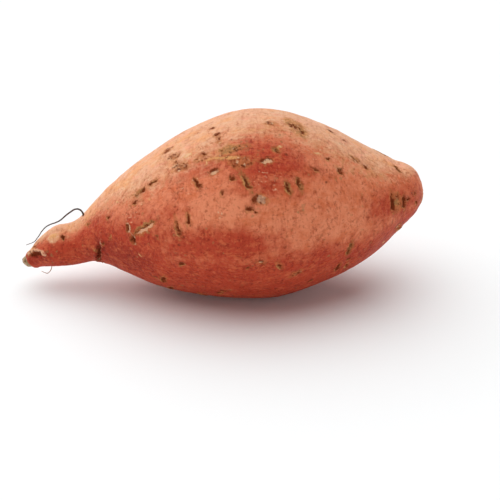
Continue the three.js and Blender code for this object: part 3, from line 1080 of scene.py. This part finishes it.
def path_points(node, thickness):
    """A hair root's path in metres, swaying to both sides of the middle of its node's box."""
    low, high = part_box(node)
    path = HAIR_PATHS[node]
    top = high.z - max(up for along, up in path[1:]) * MM - thickness
    points = []
    for number, (along, up) in enumerate(path):
        share = number / (len(path) - 1)
        sway = HAIR_SWAY * math.sin(HAIR_BENDS * math.pi * share) * smooth_step(share, 0.1, 0.4)
        across = (low.y + high.y) / 2 + sway * MM
        points.append(Vector((high.x - thickness + along * MM, across, top + up * MM)))
    return points


def path_object(name, points):
    """A smooth open curve through points."""
    curve = bpy.data.curves.new(name, "CURVE")
    curve.dimensions = "3D"
    spline = curve.splines.new("BEZIER")
    spline.bezier_points.add(len(points) - 1)
    for knot, point in zip(spline.bezier_points, points, strict=True):
        knot.co = point
        knot.handle_left_type = knot.handle_right_type = "AUTO"
    return linked(name, curve)


def hair_group(material, settings, foot):
    """Sweeps a round section along a path, thinning and wandering to its tip."""
    group = NodeGroup("hair_root")
    foot_radius = group.value("Foot radius", "Float", foot)
    tip_radius = group.value("Tip radius", "Float", settings.tip_radius)
    wobble = group.value("Wobble", "Float", settings.wobble)
    dense = group.node("GeometryNodeResampleCurve", None, {0: group.entry.outputs[0], "Count": 90})
    share = group.node("GeometryNodeSplineParameter").outputs["Factor"]
    radius = group.node("ShaderNodeMapRange", None, {0: share, 3: foot_radius, 4: tip_radius})
    wander = group.node("ShaderNodeTexNoise", None, {"Scale": 260.0, "Detail": 2.0})
    inputs = {0: wander.outputs["Color"], 1: (0.5, 0.5, 0.5)}
    centred = group.node("ShaderNodeVectorMath", {"operation": "SUBTRACT"}, inputs)
    stray = group.node("ShaderNodeMath", {"operation": "MULTIPLY"}, {0: share, 1: wobble})
    inputs = {0: centred.outputs[0], "Scale": stray.outputs[0]}
    offset = group.node("ShaderNodeVectorMath", {"operation": "SCALE"}, inputs)
    moved = group.node("GeometryNodeSetPosition", None, {0: dense.outputs[0], "Offset": offset.outputs[0]})
    inputs = {0: moved.outputs[0], "Radius": radius.outputs[0]}
    sized = group.node("GeometryNodeSetCurveRadius", None, inputs)
    section = group.node("GeometryNodeCurvePrimitiveCircle", None, {"Resolution": 10, "Radius": 1.0})
    inputs = {"Curve": sized.outputs[0], "Profile Curve": section.outputs[0], "Fill Caps": True}
    swept = group.node("GeometryNodeCurveToMesh", None, inputs)
    if "Scale" in swept.inputs:
        group.tree.links.new(radius.outputs[0], swept.inputs["Scale"])
    group.close(swept.outputs[0], material)
    return group


# ---- Operators ----


class SWEETPOTATO_OT_skin(bpy.types.Operator):
    """Build the skin over the root, with its lumps, pits, slits and scars"""

    bl_idname = "sweetpotato.skin"
    bl_label = "Build skin"

    def execute(self, context):
        settings = context.scene.sweetpotato_skin
        skin = Skin()
        shape_skin(skin, settings)
        stain_skin(skin)
        marks = MARKS + list(stray_marks(settings.stray_marks, settings.seed))
        for number, mark in enumerate(marks):
            press_mark(skin, mark, number)
        cut_face(skin)
        points = skin.grid + skin.normals * skin.height[:, :, None]
        points[:, :, 2] = np.maximum(points[:, :, 2], ROOT_LOW.z)
        material = skin_material(settings)
        body = plain_object("skin", picked(points, skin.plan), face_list(skin.plan), material)
        for name, values in skin.fields.items():
            add_field(body.data, name, picked(values[:, :, None], skin.plan)[:, 0])
        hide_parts("storage_root")
        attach(body, "root")
        return {"FINISHED"}


class SWEETPOTATO_OT_hair_roots(bpy.types.Operator):
    """Grow the dry hair roots at the tail along their paths"""

    bl_idname = "sweetpotato.hair_roots"
    bl_label = "Grow hair roots"

    def execute(self, context):
        settings = context.scene.sweetpotato_hair
        tones = {"hair_root_long": settings.colour_dark, "hair_root_curl": settings.colour_pale}
        feet = {"hair_root_long": settings.foot_radius, "hair_root_curl": settings.foot_radius / 2}
        for node, tone in tones.items():
            material = hair_material(node + "_fibre", tuple(tone))
            path = path_object(node + "_path", path_points(node, feet[node]))
            hair = hair_group(material, settings, feet[node]).grown(node + "_dry", path)
            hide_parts(node)
            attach(hair, "root")
        return {"FINISHED"}


FLOOR_HALF = 4.0  # metres
LAMP_TILT = (math.radians(-14), math.radians(-16), 0)  # shines down, a little from the back and tail
SENSOR = 36  # the camera's sensor width in millimetres
VIEW_WIDTH = 223.2 * MM  # how wide the view is where the camera aims
AIM_ALONG, AIM_RISE = 12.7 * MM, 17 * MM  # where the camera aims, along the root and up the picture


def studio_world(settings):
    """Light from all round: white along the horizon, dimmer overhead."""
    world = bpy.data.worlds.new("studio")
    world.use_nodes = True
    tree = Tree(world.node_tree)
    height = tree.node("SeparateXYZ", None, {0: tree.node("TexCoord")}, 2)
    low = 1 - height.step(0.17, 0.45)
    glow = low * (1 - settings.room_light) + settings.room_light
    background = tree.node("Background", None, {0: (1, 1, 1, 1), 1: glow})
    tree.node("OutputWorld", None, {0: background})
    return world


class SWEETPOTATO_OT_stage(bpy.types.Operator):
    """Set up the floor, the soft lights and the camera"""

    bl_idname = "sweetpotato.stage"
    bl_label = "Set the stage"

    def execute(self, context):
        settings = context.scene.sweetpotato_stage
        scene = context.scene
        floor_material, floor_tree = new_material("floor")
        floor_tree.surface(Base_Color=(*settings.floor, 1), Roughness=0.9)
        signs = ((-1, -1), (1, -1), (1, 1), (-1, 1))
        corners = [(x * FLOOR_HALF, y * FLOOR_HALF, 0) for x, y in signs]
        floor = plain_object("floor", corners, [(0, 1, 2, 3)], floor_material)
        floor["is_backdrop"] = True

        scene.world = studio_world(settings)
        overhead = bpy.data.lights.new("overhead", "SUN")
        overhead.energy, overhead.angle = settings.overhead_light, settings.overhead_spread
        linked("overhead", overhead).rotation_euler = LAMP_TILT

        camera = bpy.data.cameras.new("camera")
        camera.lens, camera.sensor_width = settings.lens, SENSOR
        camera.clip_start, camera.clip_end = 0.01, 50
        eye = linked("camera", camera)
        up, back = math.sin(settings.elevation), math.cos(settings.elevation)
        aim = Vector((AIM_ALONG, AIM_RISE * up, AIM_RISE * back))
        reach_back = VIEW_WIDTH * settings.lens / SENSOR
        eye.location = aim + Vector((0, -back, up)) * reach_back
        eye.rotation_euler = (math.pi / 2 - settings.elevation, 0, 0)
        scene.camera = eye
        scene.view_settings.view_transform = "Standard"
        return {"FINISHED"}


class SWEETPOTATO_PT_panel(bpy.types.Panel):
    """Lists the steps that build the sweet potato"""

    bl_label = "Sweet Potato"
    bl_idname = "SWEETPOTATO_PT_panel"
    bl_space_type = "VIEW_3D"
    bl_region_type = "UI"
    bl_category = "Sweet Potato"

    def draw(self, context):
        for operator in (SWEETPOTATO_OT_skin, SWEETPOTATO_OT_hair_roots, SWEETPOTATO_OT_stage):
            self.layout.operator(operator.bl_idname)


SETTINGS = {
    "sweetpotato_skin": SkinSettings,
    "sweetpotato_hair": HairSettings,
    "sweetpotato_stage": StageSettings,
}
CLASSES = (
    *SETTINGS.values(),
    SWEETPOTATO_OT_skin,
    SWEETPOTATO_OT_hair_roots,
    SWEETPOTATO_OT_stage,
    SWEETPOTATO_PT_panel,
)


def register():
    for cls in CLASSES:
        bpy.utils.register_class(cls)
    for name, group in SETTINGS.items():
        setattr(bpy.types.Scene, name, PointerProperty(type=group))


def unregister():
    for name in SETTINGS:
        delattr(bpy.types.Scene, name)
    for cls in reversed(CLASSES):
        bpy.utils.unregister_class(cls)


def main():
    register()
    bpy.ops.sweetpotato.skin()
    bpy.ops.sweetpotato.hair_roots()
    bpy.ops.sweetpotato.stage()
    boxes = {"cad": CAD_BOX, "visual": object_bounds()}
    {name: [list(corner) for corner in box] for name, box in boxes.items()}


if __name__ == "__main__":
    main()
